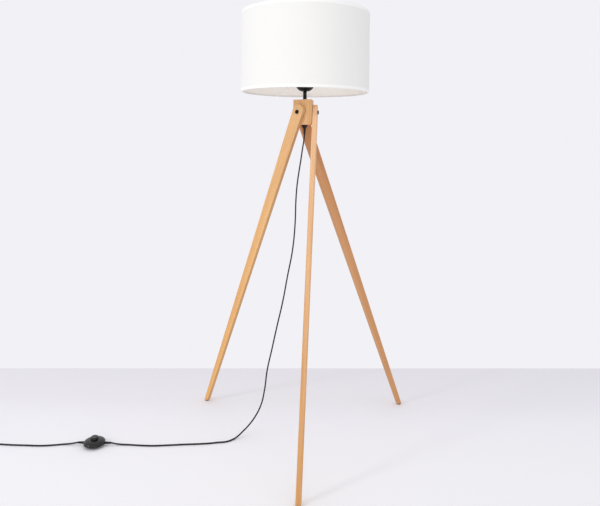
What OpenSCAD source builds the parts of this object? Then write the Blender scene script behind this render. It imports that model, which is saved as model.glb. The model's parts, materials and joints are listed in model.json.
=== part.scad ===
// Tripod floor lamp: three tapered wooden legs bolted flat to a wooden hub, a short
// black stem, an E27 lampholder, a drum shade on a three-arm carrier, and a mains
// lead with a round foot switch.
// Frame: origin on the floor on the lamp's axis, +Z up, the front leg towards -Y.

/* [Shade] */
// Outside diameter of the drum shade
shade_d = 450; // [420:5:480]
// Height of the drum shade
shade_h = 277; // [240:1:320]
// Drop from the shade's fitter ring to its lower edge
shade_drop = 37; // [32:1:46]

/* [Legs] */
// Height of the leg bolts above the floor
bolt_z = 1117; // [1110:1:1125]
// Lean of each leg from upright, in degrees
leg_splay = 21.05; // [20:0.05:23]
// Width of a leg at its round top end
leg_w_top = 43; // [40:1:46]
// Width of a leg at the foot
leg_w_foot = 15; // [14:1:20]
// Thickness of a leg
leg_t = 16; // [14:1:18]
// Turn of the whole tripod about the lamp's axis, in degrees
stand_turn = -5.85; // [-8:0.05:-3]

/* [Hub] */
// Height of the wooden hub
hub_h = 88; // [80:1:100]
// Distance from the lamp's axis to a wide hub face
hub_face_r = 28.5; // [27:0.5:31]
// Width of a narrow hub face at a corner
hub_corner_w = 20; // [16:1:24]

/* [Stem] */
// Outside diameter of the stem's black sleeve
sleeve_d = 13; // [12:0.5:16]
// Visible length of the sleeve above the hub
sleeve_h = 30; // [26:1:36]

/* [Lead] */
// Diameter of the mains lead
cord_d = 5; // [4:0.5:6]
// Diameter of the foot switch
switch_d = 70; // [68:1:76]

/* [Hidden] */
$fn = 96;

// Leg numbers in the order front, left, right, and the way each wide hub face looks
FRONT = 0;
LEFT = 1;
RIGHT = 2;
face_turn = [stand_turn, stand_turn + 240, stand_turn + 120];

// Legs, pads and bolts
pad_t = 3;
pad_r = 6.5;
washer_t = 0.8;
washer_r = 12;
washer_gap = 0.05;
leg_face_r = hub_face_r + washer_t + washer_gap;
head_face_r = leg_face_r + leg_t + washer_gap;
leg_head = 6;
leg_reach = bolt_z / cos(leg_splay);
foot_run = (bolt_z - pad_t / 2) * tan(leg_splay);
bolt_r = 4;
bolt_fit = 0.05;
bolt_grip = 17;
bolt_head_r = 7.4;
bolt_head_h = 4.4;
hex_key_r = 2.9;
hex_key_deep = 2.6;
insert_r = 6;
insert_len = 19;

// Stem, up through the hub
hub_bottom = bolt_z - hub_h / 2;
hub_top = bolt_z + hub_h / 2;
stem_r = 5;
stem_bore_r = 3.75;
hub_bore_r = 5.2;
stem_washer_r = 11;
stem_washer_t = 1.5;
stem_nut_r = 9.8;
stem_nut_h = 5;
stem_bottom = hub_bottom - stem_washer_t - stem_nut_h - 4;
relief_top = hub_bottom - stem_washer_t - stem_nut_h;
relief_bottom = relief_top - 28;

// Lampholder, stacked on the sleeve
dish_z = hub_top + sleeve_h;
dish_t = 1.2;
cap_z = dish_z + dish_t;
flange_z = dish_z + 31;
flange_t = 2;
fitter_z = flange_z + flange_t;
fitter_t = 2;
fitter_bore_r = 20.3;
fitter_r = 30;
skirt_r = 19.7;
skirt_bore_r = 15.4;
skirt_top = fitter_z + 32;
nut_z = fitter_z + fitter_t;
nut_h = 9;
nut_r = 25;
nut_bore_r = 20.05;
stem_top = dish_z + 12;
block_z = dish_z + 18;
block_h = 12;
block_r = 15;
shell_z = block_z + block_h;
shell_r = 13.8;
shell_bore_r = 13.35;

// Bulb, seated on the centre contact
bulb_z = block_z + block_h + 4;
bulb_cap_r = 13;
bulb_r = 30;
bulb_h = 106;
glass_t = 0.9;

// Shade
shade_r = shade_d / 2;
shade_z = fitter_z - shade_drop;
shade_top = shade_z + shade_h;
fabric_t = 0.6;
liner_t = 0.5;
hem_t = 0.4;
hem_h = 9;
wire_r = 2;
liner_in_r = shade_r - fabric_t - liner_t;
ring_path_r = liner_in_r - wire_r - 0.1;
ring_inset = 2.5;
arm_count = 3;
arm_in_r = 26.5;
seam_w = 12;
seam_turn = 100;

// Foot switch
switch_x = -686;
switch_y = -126;
switch_r = switch_d / 2;
switch_foot = 1.2;
switch_split = 9;
switch_wall = 2;
switch_shoulder_r = 13.6;
switch_shoulder_z = 21;
button_r = 12.2;
button_top = 30;
button_flange_z = 14;
dome_r = switch_r - switch_shoulder_r;
dome_h = switch_shoulder_z - switch_split - 2;
spring_foot = 9;
spring_head = button_flange_z + 2;
screw_y = 20;
screw_r = 1.5;
entry_z = 9;
entry_r = 4;
entry_out = switch_r + 20;

// Lead: from the strain relief under the hub down to the floor and to the switch
cord_r = cord_d / 2;
cord_sides = 8;
cord_route_a = [
  [0, 0, relief_bottom], [-2, 0, 1018], [-5, 0, 998], [-8, -1, 978], [-12, -1, 948],
  [-17.5, -2, 912], [-24, -4, 862], [-27.5, -6, 812], [-30, -10, 720], [-38, -14, 632],
  [-54, -19, 545], [-70, -24, 455], [-89, -28, 370], [-106, -32, 290],
  [-121, -35, 220], [-129, -38, 155], [-140, -41, 105], [-159, -45, 66],
  [-182, -51, 36], [-204, -59, 16], [-217, -68, 7], [-230, -80, cord_r + 1],
  [-253, -96, cord_r], [-281, -102, cord_r], [-307, -108, cord_r],
  [-333, -112, cord_r], [-386, -117, cord_r], [-437, -123, cord_r],
  [-489, -128, cord_r], [-516, -128, cord_r], [-571, -124, cord_r],
  [-605, -124, cord_r + 1.5], [switch_x + entry_out, switch_y, entry_z]
];
// Lead: from the switch along the floor to the coil
coil_x = -1086;
coil_y = -96;
coil_mid_r = 27.5;
coil_half_w = 7.5;
coil_h = 10;
coil_z = 1;
coil_out_r = coil_mid_r + coil_half_w;
cord_route_b = [
  [switch_x - entry_out, switch_y, entry_z], [-763, -126, 5], [-788, -126, cord_r],
  [-812, -131, cord_r], [-857, -137, cord_r], [-911, -136, cord_r],
  [-965, -134, cord_r], [-1000, -131, cord_r], [-1045, -129, coil_z + cord_r],
  [coil_x, coil_y - coil_out_r + cord_r, coil_z + cord_r]
];
// Lead: from the coil to the plug
plug_len = 38;
plug_w = 35;
plug_t = 14;
plug_relief_len = 25;
plug_y = -30;
cord_route_c = [
  [coil_x - coil_out_r + cord_r, coil_y, coil_z + coil_h - cord_r],
  [coil_x - coil_out_r + cord_r, coil_y + 14, 7.5],
  [coil_x - coil_out_r + cord_r, coil_y + 28, 6.5],
  [coil_x - coil_out_r + cord_r, plug_y - plug_relief_len, plug_t / 2]
];
plug_x = coil_x - coil_out_r + cord_r;
pin_r = 2;
pin_root_r = 2.5;
pin_root_len = 12;
pin_core_r = 1.3;
pin_sleeve_r = 1.8;
pin_sleeve_len = 10;
pin_pitch = 18.6;
pin_len = 19;
pin_tip = 1.2;
tie_t = 0.8;
tie_w = 6;
tie_gap = 0.1;
tie_turn = 60;

// ---- helpers ----

// One leg's own frame: +X out of the hub face, -Y the way its foot goes
module on_face(leg) rotate([0, 0, face_turn[leg]]) children();

module at_bolt(leg) on_face(leg) translate([leg_face_r, 0, bolt_z]) children();

module every_face() for (leg = [FRONT, LEFT, RIGHT]) on_face(leg) children();

// A shape drawn with +Z along an axis is laid along +X
module along_x() rotate([0, 90, 0]) children();

function unit(v) = v / norm(v);
function blend_at(a, b, c, d, t) =
  ((2 * b) + (c - a) * t + (2 * a - 5 * b + 4 * c - d) * t * t
    + (3 * b - a - 3 * c + d) * t * t * t) / 2;
// A smooth route through hand-set points, with one point added between each pair
function smooth(p) = let (n = len(p)) [
  for (i = [0 : n - 1]) each i == n - 1 ? [p[i]] :
    [p[i], blend_at(p[max(i - 1, 0)], p[i], p[i + 1], p[min(i + 2, n - 1)], 0.5)]
];
function heading(p, i) = unit(p[min(i + 1, len(p) - 1)] - p[max(i - 1, 0)]);
function ring(p, i, r, sides, side_ref) =
  let (t = heading(p, i), a = unit(cross(t, side_ref)), b = cross(t, a))
  [for (k = [0 : sides - 1]) p[i] + r * (cos(360 * k / sides) * a + sin(360 * k / sides) * b)];

// A closed tube swept along a route; side_ref is never along the route
module tube(p, r, sides, side_ref) {
  n = len(p);
  points = [for (i = [0 : n - 1]) each ring(p, i, r, sides, side_ref)];
  walls = [for (i = [0 : n - 2], k = [0 : sides - 1])
    [i * sides + k, i * sides + (k + 1) % sides,
     (i + 1) * sides + (k + 1) % sides, (i + 1) * sides + k]];
  first = [for (k = [sides - 1 : -1 : 0]) k];
  last = [for (k = [0 : sides - 1]) (n - 1) * sides + k];
  polyhedron(points, concat([first], walls, [last]), convexity = 4);
}

// A band of rectangular section round the Z axis
module band(r_in, r_out, z0, z1) rotate_extrude()
  translate([r_in, z0]) square([r_out - r_in, z1 - z0]);

module wire_ring(path_r, z) translate([0, 0, z]) rotate_extrude()
  translate([path_r, 0]) circle(wire_r, $fn = 24);

// ---- stand ----

module hub() color("burlywood") {
  half_face = hub_face_r * sqrt(3) - hub_corner_w;
  outline = [for (k = [0 : 2], s = [-1, 1])
    [cos(120 * k) * hub_face_r - sin(120 * k) * s * half_face,
     sin(120 * k) * hub_face_r + cos(120 * k) * s * half_face]];
  difference() {
    rotate([0, 0, stand_turn]) translate([0, 0, hub_bottom])
      linear_extrude(hub_h) polygon(outline);
    translate([0, 0, hub_bottom - 1]) cylinder(r = hub_bore_r, h = hub_h + 2);
    every_face() translate([hub_face_r - insert_len, 0, bolt_z])
      along_x() cylinder(r = insert_r, h = insert_len + 1);
  }
}

module hub_inserts() color("goldenrod") every_face()
  translate([hub_face_r - insert_len, 0, bolt_z]) along_x() difference() {
    cylinder(r = insert_r, h = insert_len);
    translate([0, 0, -1]) cylinder(r = bolt_r + bolt_fit, h = insert_len + 2);
  }

module friction_washers() color("dimgray") every_face()
  translate([hub_face_r, 0, bolt_z]) along_x() difference() {
    cylinder(r = washer_r, h = washer_t);
    translate([0, 0, -1]) cylinder(r = bolt_r + bolt_fit, h = washer_t + 2);
  }

module leg_bolts() color("black") every_face()
  translate([head_face_r, 0, bolt_z]) along_x() {
    translate([0, 0, hub_face_r - bolt_grip - head_face_r])
      cylinder(r = bolt_r, h = head_face_r - hub_face_r + bolt_grip);
    difference() {
      rotate_extrude() polygon([
        [0, 0], [bolt_head_r, 0], [bolt_head_r, 1],
        for (a = [15 : 15 : 75]) [bolt_head_r - 3 + 3 * cos(a), 1 + 3.4 * sin(a)],
        [bolt_head_r - 3, bolt_head_h], [0, bolt_head_h]]);
      translate([0, 0, bolt_head_h - hex_key_deep])
        cylinder(r = hex_key_r, h = hex_key_deep + 1, $fn = 6);
    }
  }

// A leg: a tapered board with a round top end, cut level just above the floor
module leg(which) color("burlywood") difference() {
  at_bolt(which) rotate([-leg_splay, 0, 0]) difference() {
    rotate([90, 0, 90]) linear_extrude(leg_t) polygon([
      for (a = [0 : 5 : 180]) [leg_w_top / 2 * cos(a), leg_head + leg_w_top / 2 * sin(a)],
      [-leg_w_foot / 2, -leg_reach - 10], [leg_w_foot / 2, -leg_reach - 10]]);
    translate([-1, 0, 0]) along_x() cylinder(r = bolt_r + bolt_fit, h = leg_t + 2);
  }
  translate([-700, -700, pad_t - 60]) cube([1400, 1400, 60]);
}

module front_leg() leg(FRONT);
module left_leg() leg(LEFT);
module right_leg() leg(RIGHT);

module foot_pad(which) color("dimgray") on_face(which)
  translate([leg_face_r + leg_t / 2, -foot_run, 0]) cylinder(r = pad_r, h = pad_t);

module front_foot_pad() foot_pad(FRONT);
module left_foot_pad() foot_pad(LEFT);
module right_foot_pad() foot_pad(RIGHT);

// ---- stem ----

module stem_tube() color("silver") band(stem_bore_r, stem_r, stem_bottom, stem_top);

module stem_sleeve() color("black")
  band(hub_bore_r, sleeve_d / 2, hub_top, dish_z);

module stem_washer() color("black")
  band(hub_bore_r, stem_washer_r, hub_bottom - stem_washer_t, hub_bottom);

module stem_nut() color("black") difference() {
  translate([0, 0, relief_top]) cylinder(r = stem_nut_r, h = stem_nut_h, $fn = 6);
  translate([0, 0, relief_top - 1]) cylinder(r = stem_r, h = stem_nut_h + 2);
}

module stem_strain_relief() color("black") difference() {
  rotate_extrude() polygon([[0, relief_bottom], [cord_r + 0.8, relief_bottom],
    [cord_r + 1.3, relief_bottom + 12], [4.4, relief_top - 9], [6.6, relief_top - 6],
    [6.6, relief_top], [0, relief_top]]);
  translate([0, 0, stem_bottom]) cylinder(r = stem_r, h = 20);
  translate([0, 0, relief_bottom - 1]) cylinder(r = cord_r, h = 40);
}

module lead_in_stem() color("black")
  translate([0, 0, relief_bottom]) cylinder(r = cord_r, h = stem_top - relief_bottom - 1);

module supply_wires() color("saddlebrown") for (s = [-1, 1])
  translate([1.2 * s, 0, stem_top - 1]) cylinder(r = 0.9, h = block_z - stem_top + 1);

// ---- lampholder ----

// A shallow black bowl that hides the lampholder's foot
module holder_dish() color("black") {
  foot_r = 8;
  bend_r = 24;
  outside = [for (a = [0 : 15 : 75])
    [foot_r + bend_r * sin(a), dish_z + bend_r * (1 - cos(a))]];
  inside = [for (a = [75 : -15 : 0])
    [foot_r + (bend_r - dish_t) * sin(a), dish_z + bend_r - (bend_r - dish_t) * cos(a)]];
  rotate_extrude() polygon(concat([[hub_bore_r, dish_z]], outside, inside,
    [[hub_bore_r, cap_z]]));
}

// The lampholder's cap: screwed on the stem, with the flange that carries the shade
module holder_cap() color("black") rotate_extrude() polygon([
  [stem_r, cap_z], [8, cap_z], [10, cap_z + 6], [20, flange_z - 12], [20.5, flange_z],
  [26, flange_z], [26, flange_z + flange_t], [15.4, flange_z + flange_t],
  [15.4, block_z], [stem_r, stem_top]]);

module holder_block() color("ivory") difference() {
  translate([0, 0, block_z]) cylinder(r = block_r, h = block_h);
  for (s = [-1, 1]) translate([9 * s, 0, block_z + 3])
    cylinder(r = 1.7, h = block_h);
}

module holder_screws() color("goldenrod") for (s = [-1, 1])
  translate([9 * s, 0, block_z + 3]) {
    cylinder(r = 1.6, h = block_h - 3);
    translate([0, 0, block_h - 3]) difference() {
      cylinder(r = 2.8, h = 1.6);
      translate([-4, -0.4, 0.9]) cube([8, 0.8, 2]);
    }
  }

module holder_centre_contact() color("goldenrod") translate([0, 0, block_z + block_h]) {
  translate([-3, 4, 0]) cube([6, 4, 0.6]);
  translate([-3, -3, 3.2]) cube([6, 7, 0.6]);
  translate([-3, 4, 0]) cube([6, 0.6, 3.8]);
}

module holder_thread_shell() color("goldenrod")
  band(shell_bore_r, shell_r, shell_z, skirt_top - 2);

module holder_skirt() color("black") rotate_extrude() polygon([
  [shell_r + 0.05, skirt_top], [shell_r + 0.05, skirt_top - 6], [skirt_bore_r, skirt_top - 8],
  [skirt_bore_r, fitter_z], [skirt_r, fitter_z], [skirt_r, skirt_top - 1],
  [skirt_r - 1, skirt_top]]);

module shade_ring_nut() color("black") difference() {
  band(nut_bore_r, nut_r, nut_z, nut_z + nut_h);
  for (k = [0 : 23]) rotate([0, 0, 15 * k]) translate([nut_r + 0.6, 0, nut_z - 1])
    cylinder(r = 1.4, h = nut_h + 2, $fn = 24);
}

// ---- shade ----

module shade_fabric() color("white")
  band(shade_r - fabric_t, shade_r, shade_z, shade_top);

module shade_liner() color("ivory")
  band(liner_in_r, shade_r - fabric_t, shade_z, shade_top);

module shade_top_ring() color("white") wire_ring(ring_path_r, shade_top - ring_inset);
module shade_bottom_ring() color("white") wire_ring(ring_path_r, shade_z + ring_inset);

// Three straight wires from the lower ring up to the fitter ring
module shade_spider_arms() color("white") {
  run = ring_path_r - arm_in_r;
  rise = (fitter_z + fitter_t + wire_r) - (shade_z + ring_inset);
  for (k = [0 : arm_count - 1]) rotate([0, 0, k * 360 / arm_count])
    translate([ring_path_r, 0, shade_z + ring_inset])
      rotate([0, -atan2(run, rise), 0]) cylinder(r = wire_r, h = norm([run, rise]), $fn = 24);
}

module shade_fitter_ring() color("white")
  band(fitter_bore_r, fitter_r, fitter_z, fitter_z + fitter_t);

// A strip of fabric turned over an edge of the drum; side is 1 at the top, -1 below
module hem(edge, side) color("white") rotate_extrude() {
  inner_r = ring_path_r - wire_r - 1;
  translate([shade_r, side > 0 ? edge - hem_h : edge]) square([hem_t, hem_h]);
  translate([inner_r, side > 0 ? edge : edge - hem_t])
    square([shade_r + hem_t - inner_r, hem_t]);
}

module shade_top_hem() hem(shade_top, 1);
module shade_bottom_hem() hem(shade_z, -1);

module shade_seam_tape() color("white") rotate([0, 0, seam_turn])
  intersection() {
    band(shade_r, shade_r + 0.3, shade_z + hem_h + 1, shade_top - hem_h - 1);
    translate([0, -seam_w / 2, shade_z]) cube([shade_r + 10, seam_w, shade_h]);
  }

// ---- bulb ----

function glass_wall(r) =
  let (neck_z = bulb_z + 25, ball_z = bulb_z + bulb_h - bulb_r, d = r - bulb_r) [
    [12.6 + d, neck_z], [13.4 + d, neck_z + 8], [16 + d, neck_z + 18], [21 + d, neck_z + 30],
    for (a = [-30 : 10 : 80]) [r * cos(a), ball_z + r * sin(a)], [0, ball_z + r]];

module bulb_glass() color("lightcyan", 0.5) {
  inner = glass_wall(bulb_r - glass_t);
  rotate_extrude() polygon(concat(glass_wall(bulb_r),
    [for (i = [len(inner) - 1 : -1 : 0]) inner[i]]));
}

module bulb_cap() color("silver") rotate_extrude() polygon([
  [11, bulb_z + 4.5], [bulb_cap_r, bulb_z + 6.5], [bulb_cap_r, bulb_z + 24],
  [12.7, bulb_z + 25], [11.6, bulb_z + 25], [11.6, bulb_z + 5.5]]);

module bulb_insulator() color("black") rotate_extrude() polygon([
  [4.8, bulb_z + 1], [8, bulb_z + 1.6], [11, bulb_z + 4.5], [11.6, bulb_z + 5.5],
  [4.8, bulb_z + 5.5]]);

module bulb_contact() color("silver") translate([0, 0, bulb_z]) {
  cylinder(r = 4.4, h = 1);
  translate([0, 0, 1]) cylinder(r = 4.8, h = 3);
}

module bulb_stem() color("lightcyan") rotate_extrude() polygon([
  [0, bulb_z + 25], [9, bulb_z + 25], [5, bulb_z + 32], [3, bulb_z + 40],
  [2.2, bulb_z + 56], [0, bulb_z + 58]]);

module bulb_filaments() color("gold") for (k = [0 : 3]) rotate([0, 0, 90 * k + 45])
  translate([9, 0, bulb_z + 44]) rotate([0, 8, 0])
    translate([-0.8, -0.5, 0]) cube([1.6, 1, 34]);

// ---- foot switch ----

module at_switch() translate([switch_x, switch_y, 0]) children();

// The two cable entries, cut through the case where base and cover meet
module entries() for (s = [0, 180]) rotate([0, 0, s])
  translate([20, 0, entry_z]) along_x() cylinder(r = entry_r, h = switch_r);

module switch_base() color("black") at_switch() difference() {
  rotate_extrude() polygon([
    [0, switch_foot], [switch_r - 12, switch_foot], [switch_r, switch_split - 1],
    [switch_r, switch_split], [switch_r - switch_wall, switch_split],
    [switch_r - switch_wall - 1, switch_split - 2],
    [switch_r - 13, switch_foot + 2], [0, switch_foot + 2]]);
  entries();
  for (s = [-1, 1]) translate([0, screw_y * s, 0]) cylinder(r = screw_r + 0.2, h = 8);
}

module switch_cover() color("black") at_switch() difference() {
  union() {
    for (s = [-1, 1]) translate([0, screw_y * s, switch_foot + 2])
      cylinder(r = 3.4, h = 16);
    rotate_extrude() polygon([
      [switch_r, switch_split], [switch_r, switch_split + 2],
      for (a = [10 : 10 : 80]) [switch_shoulder_r + dome_r * cos(a),
        switch_split + 2 + dome_h * sin(a)],
      [switch_shoulder_r, switch_shoulder_z], [button_r + 0.3, switch_shoulder_z],
      [button_r + 0.3, switch_shoulder_z - switch_wall],
      for (a = [80 : -10 : 10]) [switch_shoulder_r - 1 + (dome_r - 1) * cos(a),
        switch_split + dome_h * sin(a)],
      [switch_r - switch_wall, switch_split]]);
  }
  entries();
  for (s = [-1, 1]) translate([0, screw_y * s, 0]) cylinder(r = screw_r + 0.05, h = 13);
}

// Round button, held in by the flange round its foot
module switch_button() color("black") at_switch() rotate_extrude() polygon([
  [0, button_flange_z + 2], [9, button_flange_z + 2], [9, button_flange_z],
  [button_r + 1.4, button_flange_z], [button_r + 1.4, button_flange_z + 2],
  [button_r, button_flange_z + 2], [button_r, button_top - 2],
  [button_r - 1.2, button_top - 0.6], [button_r - 3, button_top],
  [button_r - 5, button_top - 0.5], [0, button_top - 0.8]]);

module switch_spring() color("silver") at_switch() {
  turns = 4;
  per_turn = 12;
  path = [for (i = [0 : turns * per_turn]) [6 * cos(360 * i / per_turn),
    6 * sin(360 * i / per_turn),
    spring_foot + 0.5 + (spring_head - spring_foot - 1) * i / (turns * per_turn)]];
  tube(path, 0.4, 6, [0, 0, 1]);
}

module switch_block() color("ivory") at_switch()
  translate([-11, -8, switch_foot + 2]) cube([22, 16, spring_foot - switch_foot - 2]);

module switch_terminals() color("goldenrod") at_switch() for (s = [-1, 1])
  translate([15 * s - 4, -5, switch_foot + 2]) difference() {
    cube([8, 10, 7]);
    translate([4, 5, 3]) cylinder(r = 1.5, h = 5);
  }

module switch_screws() color("silver") at_switch() for (s = [-1, 1])
  translate([0, screw_y * s, 0.4]) {
    cylinder(r = screw_r, h = 12);
    difference() {
      cylinder(r = 2.8, h = 0.8);
      translate([-4, -0.4, -1]) cube([8, 0.8, 1.4]);
    }
  }

module switch_pads() color("dimgray") at_switch() for (k = [0 : 3])
  rotate([0, 0, 45 + 90 * k]) translate([17, 0, 0]) cylinder(r = 4, h = switch_foot);

module switch_strain_reliefs() color("black") at_switch() for (s = [0, 180])
  rotate([0, 0, s]) translate([0, 0, entry_z]) along_x() rotate_extrude() polygon([
    [0, 24], [entry_r, 24], [entry_r, switch_r + 1], [entry_r - 0.4, switch_r + 2],
    [cord_r + 0.6, entry_out], [0, entry_out]]);

// ---- lead and plug ----

module cord_to_switch() color("black")
  tube(smooth(cord_route_a), cord_r, cord_sides, [1, -1, 0]);

module cord_to_coil() color("black")
  tube(smooth(cord_route_b), cord_r, cord_sides, [0, 0, 1]);

module cord_tail() color("black")
  tube(smooth(cord_route_c), cord_r, cord_sides, [0, 0, 1]);

module cord_coil() color("black") translate([coil_x, coil_y, coil_z]) rotate_extrude()
  translate([coil_mid_r - coil_half_w, 0]) square([2 * coil_half_w, coil_h]);

// A flat band round the coil's section
module cord_tie() color("black") translate([coil_x, coil_y, 0]) rotate([0, 0, tie_turn])
  translate([coil_mid_r, 0, coil_z + coil_h / 2]) rotate([90, 0, 0])
    linear_extrude(tie_w, center = true) difference() {
      square([2 * (coil_half_w + tie_gap + tie_t) + 1.4, coil_h + 2 * (tie_gap + tie_t)],
        center = true);
      square([2 * (coil_half_w + tie_gap) + 1.4, coil_h + 2 * tie_gap], center = true);
    }

module at_plug() translate([plug_x, plug_y, plug_t / 2]) rotate([-90, 0, 0]) children();

// Flat two-pin plug lying on its side face, with its pins towards +Y
module plug_body() color("black") at_plug() difference() {
  rotate([90, 0, 0]) linear_extrude(plug_t, center = true)
    polygon([[-5.5, 0], [5.5, 0], [9, 8], [plug_w / 2, 20], [plug_w / 2, plug_len],
      [-plug_w / 2, plug_len], [-plug_w / 2, 20], [-9, 8]]);
  for (s = [-1, 1]) translate([s * pin_pitch / 2, 0, plug_len - pin_root_len])
    cylinder(r = pin_root_r, h = pin_root_len + 1);
}

// A pin: its root in the body, a thin neck for the sleeve, the bare end and its tip
module plug_pins() color("silver") at_plug() for (s = [-1, 1])
  translate([s * pin_pitch / 2, 0, plug_len]) rotate_extrude() polygon([
    [0, -pin_root_len], [pin_root_r, -pin_root_len], [pin_root_r, 0], [pin_core_r, 0],
    [pin_core_r, pin_sleeve_len], [pin_r, pin_sleeve_len], [pin_r, pin_len - pin_tip],
    [pin_r - 1, pin_len], [0, pin_len]]);

module plug_pin_sleeves() color("black") at_plug() for (s = [-1, 1])
  translate([s * pin_pitch / 2, 0, 0])
    band(pin_core_r, pin_sleeve_r, plug_len, plug_len + pin_sleeve_len);

module plug_strain_relief() color("black") at_plug()
  translate([0, 0, -plug_relief_len]) rotate_extrude() polygon([[0, 0],
    [cord_r + 0.7, 0], [cord_r + 1.2, 10], [5, plug_relief_len], [0, plug_relief_len]]);

// ---- the part ----

hub();
hub_inserts();
friction_washers();
leg_bolts();
front_leg();
left_leg();
right_leg();
front_foot_pad();
left_foot_pad();
right_foot_pad();
stem_tube();
stem_sleeve();
stem_washer();
stem_nut();
stem_strain_relief();
lead_in_stem();
supply_wires();
holder_dish();
holder_cap();
holder_block();
holder_screws();
holder_centre_contact();
holder_thread_shell();
holder_skirt();
shade_ring_nut();
shade_fabric();
shade_liner();
shade_top_ring();
shade_bottom_ring();
shade_spider_arms();
shade_fitter_ring();
shade_top_hem();
shade_bottom_hem();
shade_seam_tape();
bulb_glass();
bulb_cap();
bulb_insulator();
bulb_contact();
bulb_stem();
bulb_filaments();
switch_base();
switch_cover();
switch_button();
switch_spring();
switch_block();
switch_terminals();
switch_screws();
switch_pads();
switch_strain_reliefs();
cord_to_switch();
cord_to_coil();
cord_coil();
cord_tail();
cord_tie();
plug_body();
plug_pins();
plug_pin_sleeves();
plug_strain_relief();
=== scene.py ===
"""Looks of a tripod floor lamp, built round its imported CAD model. Metres, the CAD's own frame."""
import json
import math

import bmesh
import bpy
from mathutils import Matrix, Vector


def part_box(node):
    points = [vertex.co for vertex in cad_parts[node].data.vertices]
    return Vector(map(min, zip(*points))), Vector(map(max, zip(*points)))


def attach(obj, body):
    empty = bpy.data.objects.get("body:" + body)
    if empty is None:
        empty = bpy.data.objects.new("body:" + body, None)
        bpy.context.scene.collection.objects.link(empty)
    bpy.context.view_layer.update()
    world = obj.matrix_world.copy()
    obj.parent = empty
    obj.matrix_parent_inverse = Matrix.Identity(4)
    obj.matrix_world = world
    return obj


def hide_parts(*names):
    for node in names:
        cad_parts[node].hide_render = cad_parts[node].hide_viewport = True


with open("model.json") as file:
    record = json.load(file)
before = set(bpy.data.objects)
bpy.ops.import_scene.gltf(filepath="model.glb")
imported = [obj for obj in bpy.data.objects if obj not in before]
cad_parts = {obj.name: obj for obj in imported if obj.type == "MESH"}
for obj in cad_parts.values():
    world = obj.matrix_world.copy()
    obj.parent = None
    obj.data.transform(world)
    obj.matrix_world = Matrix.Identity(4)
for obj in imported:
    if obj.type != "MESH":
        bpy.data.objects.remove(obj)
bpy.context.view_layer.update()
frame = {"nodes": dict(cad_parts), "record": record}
joints = {joint["name"]: joint for joint in frame["record"]["behaviour"]["joints"]}
MM = 0.001
UP = Vector((0, 0, 1))
FULL_TURN = 2 * math.pi


# -------- camera

CAMERA_AT = (0, -2.0610, 1.0187)
CAMERA_YAW, CAMERA_ROLL = 0.0056, 0.0102
# Focal length and sensor width in mm, and the frame's shifts as shares of the sensor's width
LENS, SENSOR_W = 35.073, 36
SHIFT_X, SHIFT_Y = -0.0019, -0.1879


def make_camera():
    """The photograph's viewpoint: a level camera just under the hub's height, slightly rolled,
    its frame cropped low."""
    data = bpy.data.cameras.new("camera")
    data.sensor_width = SENSOR_W
    data.lens = LENS
    data.shift_x = SHIFT_X
    data.shift_y = SHIFT_Y
    data.clip_start = 0.05
    data.clip_end = 60
    camera = bpy.data.objects.new("camera", data)
    bpy.context.scene.collection.objects.link(camera)
    turn = Matrix.Rotation(CAMERA_YAW, 4, "Z") @ Matrix.Rotation(math.pi / 2, 4, "X")
    camera.matrix_world = (Matrix.Translation(CAMERA_AT) @ turn
                           @ Matrix.Rotation(CAMERA_ROLL, 4, "Z"))
    bpy.context.scene.camera = camera


make_camera()


# -------- node helpers

def new_material(name):
    """An empty material, its node tree and its Principled shader."""
    material = bpy.data.materials.new(name)
    material.use_nodes = True
    tree = material.node_tree
    return material, tree, tree.nodes["Principled BSDF"]


def fill(tree, node, values):
    """Fills a node's inputs, linking sockets and copying plain values."""
    for key, value in values.items():
        if isinstance(value, bpy.types.NodeSocket):
            tree.links.new(value, node.inputs[key])
        else:
            node.inputs[key].default_value = value


def put(tree, kind, values=None, **settings):
    """A new node with these settings, its inputs filled from values."""
    node = tree.nodes.new("ShaderNode" + kind)
    for key, value in settings.items():
        setattr(node, key, value)
    fill(tree, node, values or {})
    return node


def maths(tree, operation, a, b=0.0, c=0.0):
    """One operation on up to three numbers or sockets."""
    return put(tree, "Math", {0: a, 1: b, 2: c}, operation=operation).outputs[0]


def ramp(tree, factor, stops):
    """Colours by factor; stops are (position, (r, g, b)) in order."""
    node = put(tree, "ValToRGB", {"Fac": factor})
    while len(node.color_ramp.elements) < len(stops):
        node.color_ramp.elements.new(0.5)
    for element, (position, colour) in zip(node.color_ramp.elements, stops):
        element.position = position
        element.color = (*colour, 1)
    return node.outputs["Color"]


def between(tree, factor, low, high, first=0.0, last=1.0):
    """factor, as it goes from first to last, made into a number from low to high."""
    return put(tree, "MapRange", {"Value": factor, "From Min": first, "From Max": last,
                                  "To Min": low, "To Max": high}).outputs["Result"]


def mix(tree, factor, a, b, blend="MIX"):
    """Two colours mixed, or multiplied, by factor."""
    node = put(tree, "Mix", data_type="RGBA", blend_type=blend)
    for socket, value in (("Factor", factor), ("A", a), ("B", b)):
        place = [i for i in node.inputs
                 if i.name == socket and i.type == ("VALUE" if socket == "Factor" else "RGBA")][0]
        if isinstance(value, bpy.types.NodeSocket):
            tree.links.new(value, place)
        else:
            place.default_value = value
    return [o for o in node.outputs if o.type == "RGBA"][0]


def bump(tree, shader, height, distance, strength=1.0):
    """Relief on the shader, up to distance in metres where height is 1."""
    node = put(tree, "Bump", {"Height": height, "Distance": distance, "Strength": strength})
    tree.links.new(node.outputs["Normal"], shader.inputs["Normal"])


def noise(tree, vector, scale, detail=3.0, rough=0.55, distortion=0.0):
    """A noise texture's value."""
    return put(tree, "TexNoise", {"Vector": vector, "Scale": scale, "Detail": detail,
                                  "Roughness": rough, "Distortion": distortion}).outputs["Fac"]


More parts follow.
